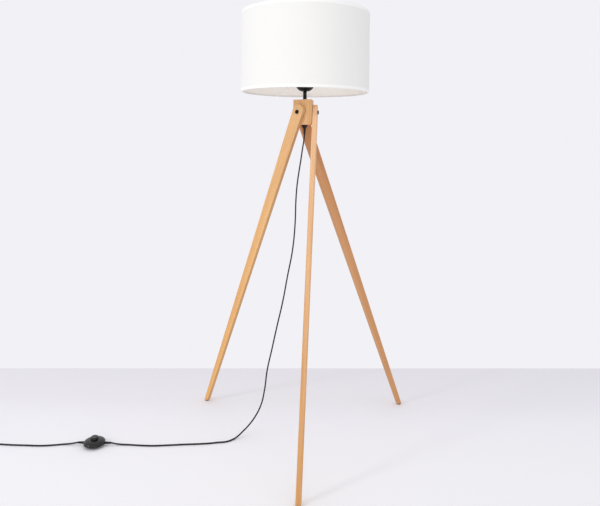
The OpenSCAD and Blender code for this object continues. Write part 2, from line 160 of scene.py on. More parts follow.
def place_in(tree, origin, turn, scale):
    """Object coordinates seen from a piece's own frame, then stretched by scale."""
    where = put(tree, "TexCoord").outputs["Object"]
    local = put(tree, "Mapping", {"Vector": where, "Location": origin,
                                  "Rotation": turn.to_euler()}, vector_type="TEXTURE")
    return put(tree, "Mapping", {"Vector": local.outputs["Vector"], "Scale": scale},
               vector_type="POINT").outputs["Vector"]


# -------- materials

WOOD_LIGHT = (0.760, 0.440, 0.196)
WOOD_MID = (0.690, 0.372, 0.150)
WOOD_DARK = (0.560, 0.272, 0.094)
PORE_BROWN = (0.300, 0.130, 0.040, 1)
FIBRE_PALE = (0.86, 0.60, 0.34, 1)
# How far below its origin a board has reached its foot colour, painted light and shade included, in
# metres
DRIFT_LENGTH = 1.15


def wood(name, origin, turn, seed, head_tone_and_light=(1, 1, 1), foot_tone_and_light=(1, 1, 1), edge_painted_shade=1.0):
    """Oiled beech or oak whose grain runs along the frame's local Z. Its colour drifts from
    head_tone_and_light at the origin to foot_tone_and_light DRIFT_LENGTH below, partly the
    board's own tone and partly painted light and shade. Its sawn edges, across the frame's X,
    are painted darker to edge_painted_shade of its faces' brightness, as painted shade."""
    material, tree, shader = new_material(name)
    shift = Vector(origin) + turn @ Vector((0.31 * seed, 0.17 * seed, 0.53 * seed))
    bands = noise(tree, place_in(tree, shift, turn, (55, 55, 2.6)), 1.0, 3.0, 0.5, 0.6)
    streaks = noise(tree, place_in(tree, shift, turn, (420, 420, 9)), 1.0, 4.0, 0.62)
    fibres = noise(tree, place_in(tree, shift, turn, (1900, 1900, 42)), 1.0, 2.0, 0.5)
    rings = put(tree, "TexWave", {"Vector": place_in(tree, shift, turn, (26, 26, 1.1)),
                                  "Scale": 1.6, "Distortion": 5.0, "Detail": 2.0,
                                  "Detail Scale": 0.8}, wave_type="RINGS",
                rings_direction="Z", wave_profile="SAW").outputs["Fac"]
    pores = put(tree, "TexVoronoi", {"Vector": place_in(tree, shift, turn, (900, 900, 75)),
                                     "Scale": 1.0}).outputs["Distance"]
    flecks = between(tree, pores, 1.0, 0.0, 0.05, 0.24)
    tone = maths(tree, "MULTIPLY_ADD", bands, 0.55, maths(tree, "MULTIPLY", streaks, 0.45))
    tone = maths(tree, "MULTIPLY_ADD", rings, 0.16, maths(tree, "SUBTRACT", tone, 0.08))
    base = ramp(tree, tone, [(0.30, WOOD_DARK), (0.46, WOOD_MID), (0.66, WOOD_LIGHT)])
    fleck_share = maths(tree, "MULTIPLY", flecks, 0.30)
    dark = mix(tree, fleck_share, base, PORE_BROWN)
    fine = mix(tree, between(tree, fibres, 0.0, 0.22), dark, FIBRE_PALE)
    # Painted light and shade: the colour drifts from head to foot, partly the board's own tone
    along = put(tree, "SeparateXYZ", {"Vector": place_in(tree, origin, turn, (1, 1, 1))})
    down = between(tree, along.outputs["Z"], 0.0, 1.0, 0.0, -DRIFT_LENGTH)
    tone_and_light_drift = mix(tree, down, (*head_tone_and_light, 1), (*foot_tone_and_light, 1))
    tinted_and_lit = mix(tree, 1.0, fine, tone_and_light_drift, "MULTIPLY")
    # Painted shade: the sawn edges are made darker than the faces
    edge = put(tree, "VectorMath", {0: put(tree, "TexCoord").outputs["Normal"],
                                    1: turn.col[0]}, operation="DOT_PRODUCT").outputs["Value"]
    edge = maths(tree, "POWER", maths(tree, "ABSOLUTE", edge), 4.0)
    edge = maths(tree, "MULTIPLY_ADD", edge, edge_painted_shade - 1, 1.0)
    fill(tree, shader, {"Base Color": mix(tree, 1.0, tinted_and_lit, edge, "MULTIPLY"),
                        "Roughness": between(tree, streaks, 0.60, 0.42),
                        "Coat Weight": 0.06, "Coat Roughness": 0.35})
    relief = maths(tree, "SUBTRACT", fibres, maths(tree, "MULTIPLY", flecks, 0.8))
    bump(tree, shader, relief, 0.00012, 0.6)
    return material


def plastic(name, colour, rough, grain_mm=0.6, depth=0.00003, worn=0.25, shine=0.5):
    """Moulded plastic or PVC: fine grain, uneven gloss and slightly paler scuffs."""
    material, tree, shader = new_material(name)
    where = put(tree, "TexCoord").outputs["Object"]
    grain = noise(tree, where, 1 / (grain_mm * MM), 2.0)
    smudge = noise(tree, where, 38.0, 4.0, 0.6)
    pale = tuple(min(1.0, c * (1 + worn) + 0.004) for c in colour)
    tint = ramp(tree, smudge, [(0.35, colour), (0.75, pale)])
    fill(tree, shader, {"Base Color": tint, "Specular IOR Level": shine,
                        "Roughness": between(tree, smudge, rough * 0.8, rough * 1.25)})
    bump(tree, shader, grain, depth)
    return material


def coated_metal(name, colour, rough, shine=0.5):
    """Powder-coated or painted steel: orange-peel bump under an even colour."""
    material, tree, shader = new_material(name)
    where = put(tree, "TexCoord").outputs["Object"]
    peel = noise(tree, where, 900.0, 2.0)
    cloud = noise(tree, where, 24.0, 3.0)
    lighter = tuple(min(1.0, c * 1.12 + 0.003) for c in colour)
    fill(tree, shader, {"Base Color": ramp(tree, cloud, [(0.3, colour), (0.8, lighter)]),
                        "Roughness": between(tree, cloud, rough * 0.85, rough * 1.2),
                        "Specular IOR Level": shine})
    bump(tree, shader, peel, 0.00002, 0.5)
    return material


def bare_metal(name, colour, rough):
    """Turned or plated metal with fine tool marks."""
    material, tree, shader = new_material(name)
    where = put(tree, "TexCoord").outputs["Object"]
    squeezed = put(tree, "Mapping", {"Vector": where, "Scale": (400, 400, 2500)})
    marks = noise(tree, squeezed.outputs["Vector"], 1.0, 3.0)
    stain = noise(tree, where, 130.0, 3.0)
    duller = tuple(c * 0.82 for c in colour)
    fill(tree, shader, {"Base Color": ramp(tree, stain, [(0.3, duller), (0.7, colour)]),
                        "Roughness": between(tree, marks, rough * 0.7, rough * 1.4),
                        "Metallic": 1.0})
    bump(tree, shader, marks, 0.00001, 0.5)
    return material


# The cloth's thread pitch in mm, and how far its threads stand out, in metres
THREAD_PITCH = 0.7
THREAD_RELIEF = 0.00014


def weave(name, colour):
    """Plain-woven cloth on a mesh whose UVs are in metres."""
    material, tree, shader = new_material(name)
    place = put(tree, "TexCoord").outputs["UV"]
    across = put(tree, "SeparateXYZ", {"Vector": place})
    turns = FULL_TURN / (2 * THREAD_PITCH * MM)

    def slub(scale):
        """Thick and thin stretches of thread, drawn out by scale."""
        drawn = put(tree, "Mapping", {"Vector": place, "Scale": scale})
        return noise(tree, drawn.outputs[0], 1.0)

    slub_u = slub((18, 900, 1))
    slub_v = slub((900, 18, 1))
    wander = maths(tree, "MULTIPLY", maths(tree, "SUBTRACT", slub_u, 0.5), 1.2)
    u = maths(tree, "SINE", maths(tree, "MULTIPLY_ADD", across.outputs["X"], turns, wander))
    v = maths(tree, "SINE", maths(tree, "MULTIPLY_ADD", across.outputs["Y"], turns, wander))
    over = maths(tree, "MULTIPLY", u, v)
    cloth = maths(tree, "MULTIPLY_ADD", over, 0.5, 0.5)
    threads = maths(tree, "ADD", maths(tree, "MULTIPLY", slub_u, 0.5),
                    maths(tree, "MULTIPLY", slub_v, 0.5))
    # The dips where threads pass under each other are painted darker, as painted shade; the slubs
    # give the threads' own tone
    shade = maths(tree, "MULTIPLY_ADD", cloth, 0.35, maths(tree, "MULTIPLY", threads, 0.65))
    shadow = tuple(c * 0.93 for c in colour)
    fill(tree, shader, {"Base Color": ramp(tree, shade, [(0.25, shadow), (0.6, colour)]),
                        "Roughness": 0.88, "Sheen Weight": 0.15, "Sheen Roughness": 0.5})
    relief = maths(tree, "MULTIPLY_ADD", threads, 0.8, maths(tree, "MULTIPLY", cloth, 0.6))
    bump(tree, shader, relief, THREAD_RELIEF, 0.6)
    return material


def liner_material():
    """The stiff sheet behind the cloth: warm white, slightly cloudy, with a fine tooth."""
    material, tree, shader = new_material("shade_liner_sheet")
    where = put(tree, "TexCoord").outputs["Object"]
    cloud = noise(tree, where, 9.0, 3.0)
    fine = noise(tree, where, 700.0, 2.0)
    tint = ramp(tree, cloud, [(0.3, (0.955, 0.912, 0.868)), (0.7, (0.975, 0.945, 0.910))])
    fill(tree, shader, {"Base Color": tint, "Roughness": between(tree, cloud, 0.42, 0.55)})
    bump(tree, shader, fine, 0.00003, 0.4)
    return material


def glass_material(name, rough):
    """Clear glass with a slight waviness."""
    material, tree, shader = new_material(name)
    where = put(tree, "TexCoord").outputs["Object"]
    wave = noise(tree, where, 40.0, 2.0)
    fill(tree, shader, {"Base Color": (0.96, 0.98, 0.98, 1), "Roughness": rough,
                        "Transmission Weight": 1.0, "IOR": 1.47})
    bump(tree, shader, wave, 0.00004, 0.3)
    return material


cloth_white = weave("shade_cloth_white", (0.872, 0.864, 0.843))
hem_white = weave("shade_hem_white", (0.950, 0.945, 0.935))
liner_white = liner_material()
black_steel = coated_metal("steel_black_satin", (0.006, 0.006, 0.006), 0.42, shine=0.18)
white_steel = coated_metal("steel_white_coat", (0.820, 0.800, 0.770), 0.45)
zinc = bare_metal("steel_zinc", (0.62, 0.62, 0.60), 0.34)
nickel = bare_metal("nickel_plate", (0.72, 0.70, 0.66), 0.22)
brass = bare_metal("brass_turned", (0.72, 0.50, 0.20), 0.30)
holder_black = plastic("holder_black_plastic", (0.008, 0.008, 0.009), 0.45, shine=0.2)
switch_black = plastic("switch_gloss_black", (0.009, 0.009, 0.010), 0.17,
                       grain_mm=0.9, depth=0.00001, shine=0.4)
plug_black = plastic("plug_black_plastic", (0.016, 0.016, 0.017), 0.40)
pvc_black = plastic("lead_black_pvc", (0.010, 0.010, 0.011), 0.40, grain_mm=1.4, shine=0.25)
pad_dark = plastic("pad_dark_rubber", (0.050, 0.046, 0.043), 0.80, grain_mm=0.4, depth=0.00006)
fibre_dark = plastic("washer_dark_fibre", (0.040, 0.036, 0.034), 0.75,
                     grain_mm=0.3, depth=0.00004)
ceramic = plastic("insulator_pale", (0.720, 0.700, 0.640), 0.45, grain_mm=0.8, worn=0.05)
wire_brown = plastic("wire_brown", (0.170, 0.070, 0.030), 0.45)
black_glass = plastic("cap_black_glass", (0.010, 0.010, 0.012), 0.12,
                      grain_mm=1.0, depth=0.00001)
filament_yellow = plastic("filament_coating", (0.860, 0.560, 0.140), 0.55,
                          grain_mm=0.3, depth=0.00005, worn=0.1)
bulb_clear = glass_material("bulb_clear_glass", 0.01)


# -------- mesh helpers

TINY = 1e-6
# A corner is eased over at most this share of the sides next to it
SIDE_SHARE = 0.45
BORE_SIDES = 48


def make_object(name, bm, material, smooth_angle=35):
    """A mesh object from bm, smooth except at edges sharper than smooth_angle."""
    bmesh.ops.recalc_face_normals(bm, faces=bm.faces)
    mesh = bpy.data.meshes.new(name)
    bm.to_mesh(mesh)
    bm.free()
    for polygon in mesh.polygons:
        polygon.use_smooth = True
    mesh.set_sharp_from_angle(angle=math.radians(smooth_angle))
    mesh.materials.append(material)
    piece = bpy.data.objects.new(name, mesh)
    bpy.context.scene.collection.objects.link(piece)
    return piece


def finish_piece(piece, body, slot, *nodes):
    """The piece rides on its body and stands for CAD nodes, which are hidden; slot is not used."""
    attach(piece, body)
    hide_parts(*nodes)
    return piece


def rounded(points, radius, steps=4, closed=True):
    """points with each corner eased over radius, or over a radius of its own from a third number."""
    out = []
    count = len(points)
    for i, point in enumerate(points):
        here = Vector(point[:2])
        reach = point[2] if len(point) > 2 else radius
        before = Vector(points[i - 1][:2])
        after = Vector(points[(i + 1) % count][:2])
        ends = not closed and i in (0, count - 1)
        reach = min(reach, (before - here).length * SIDE_SHARE,
                    (after - here).length * SIDE_SHARE)
        if ends or reach < TINY:
            out.append(here)
            continue
        first = here + (before - here).normalized() * reach
        last = here + (after - here).normalized() * reach
        for k in range(steps + 1):
            t = k / steps
            out.append(first * (1 - t) ** 2 + here * 2 * t * (1 - t) + last * t ** 2)
    return out


def lathe(name, profile, material, frame_at=None, sides=96, radius=0.0, steps=4, smooth_angle=35):
    """A closed solid of revolution about +Z of frame_at. profile is a closed (r, z) outline in
    mm, its corners eased over radius as in rounded()."""
    outline = rounded(profile, radius, steps)
    angles = [FULL_TURN * k / sides for k in range(sides)]
    bm = bmesh.new()
    rings = []
    for r, z in outline:
        if r < TINY:
            rings.append([bm.verts.new((0, 0, z * MM))])
        else:
            rings.append([bm.verts.new((r * MM * math.cos(a), r * MM * math.sin(a), z * MM))
                          for a in angles])
    for a, b in zip(rings, rings[1:] + rings[:1]):
        if len(a) == 1 and len(b) == 1:
            continue
        for k in range(sides):
            n = (k + 1) % sides
            corners = [a[k % len(a)], a[n % len(a)], b[n % len(b)], b[k % len(b)]]
            bm.faces.new(list(dict.fromkeys(corners)))
    if frame_at is not None:
        bm.transform(frame_at)
    return make_object(name, bm, material, smooth_angle)


def arc(x, y, width, height, first, last, step):
    """Points of an ellipse about (x, y), from angle first up to last, in degrees."""
    return [(x + width * math.cos(math.radians(a)), y + height * math.sin(math.radians(a)))
            for a in range(first, last, step)]


def inset(outline, amount):
    """A convex outline moved inwards by amount."""
    out = []
    count = len(outline)
    turn = sum(outline[i - 1].cross(outline[i]) for i in range(count))
    side = 1 if turn > 0 else -1
    for i in range(count):
        before = (outline[i] - outline[i - 1]).normalized()
        after = (outline[(i + 1) % count] - outline[i]).normalized()
        n1 = Vector((-before.y, before.x)) * side
        n2 = Vector((-after.y, after.x)) * side
        mid = n1 + n2
        out.append(outline[i] + mid * (amount / max(mid.dot(n1), 0.2)))
    return out


def slab(name, outline, low, high, edge, material, frame_at, hole=None, steps=4):
    """A plate from low to high along +Z of frame_at, its outline's edges eased by edge; all in mm.
    hole is (x, y, r), a round hole right through."""
    bm = bmesh.new()
    layers = [(edge * (1 - math.sin(math.pi / 2 * k / steps)),
               low + edge * (1 - math.cos(math.pi / 2 * k / steps))) for k in range(steps + 1)]
    layers += [(d, low + high - z) for d, z in reversed(layers)]
    rings = [[bm.verts.new((p.x * MM, p.y * MM, z * MM)) for p in inset(outline, d)]
             for d, z in layers]
    count = len(outline)
    for a, b in zip(rings, rings[1:]):
        for k in range(count):
            bm.faces.new((a[k], a[(k + 1) % count], b[(k + 1) % count], b[k]))
    if hole is None:
        bm.faces.new(rings[0])
        bm.faces.new(rings[-1])
    else:
        x, y, r = hole
        angles = [FULL_TURN * k / BORE_SIDES for k in range(BORE_SIDES)]
        bore_low, bore_high = [
            [bm.verts.new(((x + r * math.cos(a)) * MM, (y + r * math.sin(a)) * MM, z * MM))
             for a in angles] for z in (low, high)]
        for k in range(BORE_SIDES):
            n = (k + 1) % BORE_SIDES
            bm.faces.new((bore_low[k], bore_low[n], bore_high[n], bore_high[k]))
        for rim, circle in ((rings[0], bore_low), (rings[-1], bore_high)):
            edges = [bm.edges.get((loop[k], loop[(k + 1) % len(loop)]))
                     for loop in (rim, circle) for k in range(len(loop))]
            bmesh.ops.triangle_fill(bm, use_beauty=True, edges=edges)
    bm.transform(frame_at)
    return make_object(name, bm, material)


def axes(origin, x, y, z):
    """A frame with these axes at origin."""
    made = Matrix((x, y, z)).transposed().to_4x4()
    made.translation = origin
    return made


def dress(material, *nodes):
    """CAD nodes whose shapes are right keep them and get their material."""
    for node in nodes:
        mesh = frame["nodes"][node].data
        mesh.materials.clear()
        mesh.materials.append(material)


# -------- the mains lead

CORD_D = 0.005
RELIEF_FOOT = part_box("stem_strain_relief")[0].z
SWITCH_LOW, SWITCH_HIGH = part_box("switch_cover")
SWITCH_AT = Vector(((SWITCH_LOW.x + SWITCH_HIGH.x) / 2, (SWITCH_LOW.y + SWITCH_HIGH.y) / 2, 0))
ENTRY_LOW, ENTRY_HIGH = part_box("switch_strain_reliefs")
ENTRY_Z = (ENTRY_LOW.z + ENTRY_HIGH.z) / 2
COIL_LOW, COIL_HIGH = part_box("cord_coil")
COIL_AT = (COIL_LOW + COIL_HIGH) / 2
COIL_OUT_R = (COIL_HIGH.x - COIL_LOW.x) / 2 - CORD_D / 2
PLUG_LOW, PLUG_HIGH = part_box("plug_body")
PLUG_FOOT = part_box("plug_strain_relief")[0].y
LIE = CORD_D / 2

# The route's points, as in the CAD source
ROUTE_TO_SWITCH = [
    (0, 0, RELIEF_FOOT), (-.002, 0, 1.018), (-.005, 0, .998), (-.008, -.001, .978),
    (-.012, -.001, .948), (-.0175, -.002, .912), (-.024, -.004, .862), (-.0275, -.006, .812),
    (-.03, -.01, .72), (-.038, -.014, .632), (-.054, -.019, .545), (-.07, -.024, .455),
    (-.089, -.028, .37), (-.106, -.032, .29), (-.121, -.035, .22), (-.129, -.038, .155),
    (-.14, -.041, .105), (-.159, -.045, .066), (-.182, -.051, .036), (-.204, -.059, .016),
    (-.217, -.068, .007), (-.23, -.08, LIE + .001), (-.253, -.096, LIE), (-.281, -.102, LIE),
    (-.307, -.108, LIE), (-.333, -.112, LIE), (-.386, -.117, LIE), (-.437, -.123, LIE),
    (-.489, -.128, LIE), (-.516, -.128, LIE), (-.571, -.124, LIE),
    (-.605, -.124, LIE + .0015), (ENTRY_HIGH.x, SWITCH_AT.y, ENTRY_Z),
]
ROUTE_TO_COIL = [
    (ENTRY_LOW.x, SWITCH_AT.y, ENTRY_Z), (-.763, -.126, .005), (-.788, -.126, LIE),
    (-.812, -.131, LIE), (-.857, -.137, LIE), (-.911, -.136, LIE), (-.965, -.134, LIE),
    (-1.0, -.131, LIE), (-1.045, -.129, COIL_LOW.z + LIE),
]
TAIL_X = COIL_AT.x - COIL_OUT_R
ROUTE_TO_PLUG = [
    (TAIL_X, COIL_AT.y + .014, .0075), (TAIL_X, COIL_AT.y + .028, .0065),
    (TAIL_X, PLUG_FOOT, (PLUG_LOW.z + PLUG_HIGH.z) / 2),
]


def ease(t):
    """0 up to t = 0 and 1 from t = 1, with a smooth step between."""
    t = min(max(t, 0), 1)
    return t * t * (3 - 2 * t)


def coil_points():
    """Three turns side by side, then back outwards over them, from the coil's near side
    to its left side. Each step between turns takes a seventh of a turn."""
    turns, step = 5.25, 0.14
    points_per_turn = 16
    low, high = COIL_LOW.z + LIE, COIL_HIGH.z - LIE
    points = []
    for k in range(int(turns * points_per_turn) + 1):
        t = k / points_per_turn
        inward = sum(ease((t - n) / step + 1) for n in (1, 2))
        outward = sum(ease((t - n) / step + 1) for n in (4, 5))
        radius = COIL_OUT_R - CORD_D * (inward - outward)
        height = low + (high - low) * ease((t - 3) / step + 2)
        angle = -math.pi / 2 - FULL_TURN * t
        points.append((COIL_AT.x + radius * math.cos(angle),
                       COIL_AT.y + radius * math.sin(angle), height))
    return points


def cord_curve(name, points):
    """A round cord through points, as one open curve with smooth bends."""
    curve = bpy.data.curves.new(name, "CURVE")
    curve.dimensions = "3D"
    curve.bevel_depth = CORD_D / 2
    curve.bevel_resolution = 5
    curve.resolution_u = 8
    curve.use_fill_caps = True
    spline = curve.splines.new("BEZIER")
    spline.bezier_points.add(len(points) - 1)
    for bezier, point in zip(spline.bezier_points, points):
        bezier.co = point
        bezier.handle_left_type = bezier.handle_right_type = "AUTO"
    curve.materials.append(pvc_black)
    piece = bpy.data.objects.new(name, curve)
    bpy.context.scene.collection.objects.link(piece)
    return piece


route_to_plug = ROUTE_TO_COIL + coil_points() + ROUTE_TO_PLUG
lead_to_switch = cord_curve("lead_to_switch", ROUTE_TO_SWITCH)
lead_to_plug = cord_curve("lead_to_plug", route_to_plug)
finish_piece(lead_to_switch, "stand", "lead_pvc", "cord_to_switch")
finish_piece(lead_to_plug, "stand", "lead_pvc", "cord_to_coil", "cord_coil", "cord_tail")


# The lead's radius in mm
CORD_R = CORD_D / 2 / MM


def relief(name, frame_at, root_r, tip_r, length, ribs=7, waist_r=None):
    """A tapered strain relief with flexing ribs; it starts at frame_at and narrows along +Z.
    Past the collar it narrows from waist_r, where that is given."""
    bore = CORD_R + 0.05
    rib_depth, thinnest_wall = 0.75, 0.35
    collar = length * (0.21 if waist_r else 0.30)
    neck_r = waist_r or root_r
    outline = [(bore, 0), (root_r, 0), (root_r, collar * 0.9)]
    pitch = (length - collar) / ribs
    for k in range(ribs):
        z = collar + k * pitch
        r = neck_r + (tip_r - neck_r) * (k / ribs)
        groove = max(bore + thinnest_wall, r - rib_depth)
        outline += [(r, z), (r, z + pitch * 0.55), (groove, z + pitch * 0.62),
                    (groove, z + pitch * 0.93)]
    outline += [(tip_r, length - 0.6), (tip_r - 0.25, length), (bore, length)]
    return lathe(name, outline, pvc_black, frame_at, sides=40, radius=0.18, steps=2)


# -------- wooden stand

def leg_frame(which):
    """The leg's own frame, at its bolt: X across it, Y up along it, Z out of the hub face.
    The second value is the height at which the leg's foot is cut."""
    joint = joints[which + "_leg_fold"]
    out = Vector(joint["axis"]).normalized()
    bolt = Vector(joint["pos_m"])
    pad_low, pad_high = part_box(which + "_foot_pad")
    foot = (pad_low + pad_high) / 2
    along = bolt - foot
    along = (along - out * along.dot(out)).normalized()
    across = along.cross(out).normalized()
    return axes(bolt, across, along, out), pad_high.z


# A leg in mm: its widths at head and foot, its thickness, its round head's centre above the
# bolt, and how far past the floor its outline runs before it is cut
LEG_TOP_W, LEG_FOOT_W, LEG_T = 43.0, 15.0, 16.0
LEG_HEAD, LEG_EXTRA = 6.0, 10.0
LEG_EDGE, LEG_FOOT_CORNER = 1.6, 1.2
BOLT_HOLE_R = 4.05
# Each board's colour at its head and at its foot, partly its own tone and partly painted light and
# shade (the front board's pale head is a painted glow), and its edges' painted shade against its
# faces
LEG_TONES_AND_PAINTED_LIGHT = {"front": ((1.20, 1.28, 1.58), (0.86, 0.73, 0.53)),
             "left": ((1.02, 1.04, 1.04), (1.12, 1.03, 0.76), 0.76),
             "right": ((0.77, 0.62, 0.56), (0.86, 0.74, 0.67), 0.92)}


def leg_outline(place, floor_z):
    """A tapered board, round at the top and cut level at floor_z, in the leg's own frame."""
    bolt_z = place.translation.z / MM
    up = Vector((place[2][0], place[2][1]))
    head_r = LEG_TOP_W / 2
    head_left, head_right = Vector((-head_r, LEG_HEAD)), Vector((head_r, LEG_HEAD))
    reach = bolt_z / up.y + LEG_EXTRA
    cuts = []
    for top, s in ((head_left, -1), (head_right, 1)):
        end = Vector((s * LEG_FOOT_W / 2, -reach))
        drop = [bolt_z + p.dot(up) - floor_z / MM for p in (top, end)]
        cuts.append(top + (end - top) * (drop[0] / (drop[0] - drop[1])))
    left, right = cuts
    corner_steps = 3
    foot = rounded([left, right, head_right, head_left], LEG_FOOT_CORNER,
                   corner_steps)[:2 * (corner_steps + 1)]
    # the board is split along its length, so that its shading stays even
    rows, head_steps = 24, 36
    side_up = [right.lerp(head_right, k / rows) for k in range(1, rows)]
    side_down = [head_left.lerp(left, k / rows) for k in range(1, rows)]
    head = [Vector((head_r * math.cos(a), LEG_HEAD + head_r * math.sin(a)))
            for a in (math.pi * k / head_steps for k in range(head_steps + 1))]
    return foot + side_up + head + side_down


def make_leg(which, seed):
    """A leg's board, with softly rounded arrises."""
    place, floor_z = leg_frame(which)
    bolt = place.translation
    grain = axes(bolt, place.col[0].xyz, place.col[2].xyz * -1, place.col[1].xyz).to_3x3()
    board = slab(which + "_leg_board", leg_outline(place, floor_z), -LEG_T / 2, LEG_T / 2,
                 LEG_EDGE, wood("wood_" + which, bolt, grain, seed, *LEG_TONES_AND_PAINTED_LIGHT[which]), place,
                 (0, 0, BOLT_HOLE_R))
    finish_piece(board, which + "_leg", "wood", which + "_leg")


def make_foot_pad(which):
    """The round glide under a leg."""
    low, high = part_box(which + "_foot_pad")
    centre = (low + high) / 2
    r, top = (high.x - low.x) / 2 / MM, high.z / MM
    outline = [(0, 0, 0), (r - 0.6, 0), (r, 0.8), (r, top), (0, top, 0)]
    pad = lathe(which + "_foot_glide", outline, pad_dark,
                Matrix.Translation((centre.x, centre.y, 0)), sides=48, radius=0.4)
    finish_piece(pad, which + "_leg", "pad_rubber", which + "_foot_pad")


for number, leg_name in enumerate(("front", "left", "right")):
    make_leg(leg_name, number + 1)
    make_foot_pad(leg_name)


# The hub in mm: its faces' distance from its axis, its cut corners, its edges and its bore
HUB_FACE_R, HUB_CORNER_W = 28.5, 20.0
HUB_EDGE, HUB_CORNER_R = 1.4, 1.3
STEM_BORE_R = 5.2


def make_hub():
    """The hub block: a triangle with cut corners, bored for the stem."""
    low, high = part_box("hub")
    turn = Vector(joints["front_leg_fold"]["axis"]).normalized()
    place = axes(Vector((0, 0, (low.z + high.z) / 2)), turn, UP.cross(turn), UP)
    half_face = HUB_FACE_R * math.sqrt(3) - HUB_CORNER_W
    corners = []
    for k in range(3):
        a = FULL_TURN * k / 3
        for s in (-1, 1):
            corners.append((math.cos(a) * HUB_FACE_R - math.sin(a) * s * half_face,
                            math.sin(a) * HUB_FACE_R + math.cos(a) * s * half_face))
    half_h = (high.z - low.z) / 2 / MM
    grain = Matrix.Rotation(math.radians(12), 3, "Z")
    block = slab("hub_block", rounded(corners, HUB_CORNER_R), -half_h, half_h, HUB_EDGE,
                 wood("wood_hub", place.translation, grain, 7), place, (0, 0, STEM_BORE_R))
    finish_piece(block, "stand", "wood", "hub")


make_hub()


# -------- stem

def z_of(node):
    """A node's lowest and highest height in mm."""
    low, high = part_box(node)
    return low.z / MM, high.z / MM


def r_of(node):
    """Half a round node's width in mm."""
    low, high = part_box(node)
    return (high.x - low.x) / 2 / MM


def make_stem_ring(name, node, edge):
    """A plain ring or tube round the stem, its edges eased by edge."""
    z0, z1 = z_of(node)
    r = r_of(node)
    ring = lathe(name, [(STEM_BORE_R, z0), (r, z0), (r, z1), (STEM_BORE_R, z1)],
                 black_steel, sides=64, radius=edge)
    finish_piece(ring, "stand", "black_steel", node)


def make_stem_gland():
    """The strain relief hanging under the stem, where the lead comes out."""
    z0, z1 = z_of("stem_strain_relief")
    top = Matrix.Translation((0, 0, z1 * MM)) @ Matrix.Rotation(math.pi, 4, "X")
    gland = relief("stem_gland", top, r_of("stem_strain_relief"), CORD_R + 0.8, z1 - z0,
                   waist_r=4.4)
    finish_piece(gland, "stand", "lead_pvc", "stem_strain_relief")


make_stem_ring("stem_sleeve_tube", "stem_sleeve", 0.5)
make_stem_ring("stem_washer_disc", "stem_washer", 0.3)
make_stem_gland()


# -------- lampholder

# Radius inside the cap and the skirt, in mm
HOLDER_IN_R = 15.4


def bowl_wall(foot_r, rim_r, low, high):
    """A bowl's wall from foot to rim: the first 75 degrees of a quarter circle, stretched."""
    sweep, step = 75, 5
    wide, tall = math.sin(math.radians(sweep)), 1 - math.cos(math.radians(sweep))
    return [(foot_r + (rim_r - foot_r) * math.sin(a) / wide,
             low + (high - low) * (1 - math.cos(a)) / tall)
            for a in (math.radians(degrees) for degrees in range(0, sweep + 1, step))]


def make_holder_dish():
    """The shallow dish under the lampholder, one sheet thick."""
    z0, z1 = z_of("holder_dish")
    rim_r = r_of("holder_dish")
    foot_r, thick = 8.0, 1.2
    outer = bowl_wall(foot_r, rim_r, z0, z1)
    inner = bowl_wall(foot_r, rim_r - thick, z0 + thick, z1)
    outline = [(STEM_BORE_R, z0)] + outer + inner[::-1] + [(STEM_BORE_R, z0 + thick)]
    dish = lathe("holder_dish_bowl", outline, black_steel, sides=128, radius=0.15, steps=2)
    finish_piece(dish, "stand", "black_steel", "holder_dish")


def make_holder_cap():
    """The lampholder's conical cap, with a flange at its top."""
    z0, z1 = z_of("holder_cap")
    bore_r, body_r, flange_r, flange_t = 5, 20.5, 26, 2
    outline = [(bore_r, z0), (8, z0), (10, z0 + 6), (20, z1 - 14), (body_r, z1 - 2.4),
               (body_r, z1 - flange_t), (flange_r, z1 - flange_t), (flange_r, z1),
               (HOLDER_IN_R, z1), (HOLDER_IN_R, z0 + 16.8), (bore_r, z0 + 10.8)]
    cap = lathe("holder_cap_shell", outline, holder_black, sides=96, radius=0.8)
    finish_piece(cap, "stand", "holder_black", "holder_cap")


def make_holder_skirt():
    """The lampholder's outer skirt, threaded for the ring nut, with a lip at its top."""
    z0, z1 = z_of("holder_skirt")
    r = r_of("holder_skirt")
    pitch, depth = 2.6, 0.7
    first, plain_top, lip_r = 0.8, 3, 13.85
    root_r = r - depth
    thread = []
    for k in range(int((z1 - plain_top - z0) / pitch)):
        z = z0 + first + k * pitch
        thread += [(r, z), (r, z + pitch * 0.5), (root_r, z + pitch * 0.65),
                   (root_r, z + pitch * 0.9)]
    outline = [(HOLDER_IN_R, z0), (root_r, z0)] + thread
    outline += [(root_r, z1 - 1), (r - 2 * depth, z1), (lip_r, z1), (lip_r, z1 - 6),
                (HOLDER_IN_R, z1 - 8)]
    skirt = lathe("holder_skirt_thread", outline, holder_black, sides=96, radius=0.25, steps=2)
    finish_piece(skirt, "stand", "holder_black", "holder_skirt")


make_holder_dish()
make_holder_cap()
make_holder_skirt()


# -------- bulb

def make_bulb_glass():
    """The envelope: a ball on a neck that widens up from the cap, hollow."""
    z0, z1 = z_of("bulb_glass")
    ball_r = r_of("bulb_glass")
    wall = 0.9
    ball_z = z1 - ball_r
    neck = [(12.6, 0), (12.8, 4), (13.4, 8), (14.4, 13), (16.2, 18), (18.4, 23.5), (21.2, 29)]

    def outline(inwards):
        """The glass's surface, or one that lies inwards of it."""
        r = ball_r - inwards
        points = [(x - inwards, z0 + z) for x, z in neck] + arc(0, ball_z, r, r, -34, 90, 4)
        return points + [(0, ball_z + r, 0)]

    glass = lathe("bulb_envelope", outline(0) + outline(wall)[::-1], bulb_clear, sides=96,
                  radius=0.1, steps=1, smooth_angle=60)
    finish_piece(glass, "bulb", "bulb_glass", "bulb_glass")


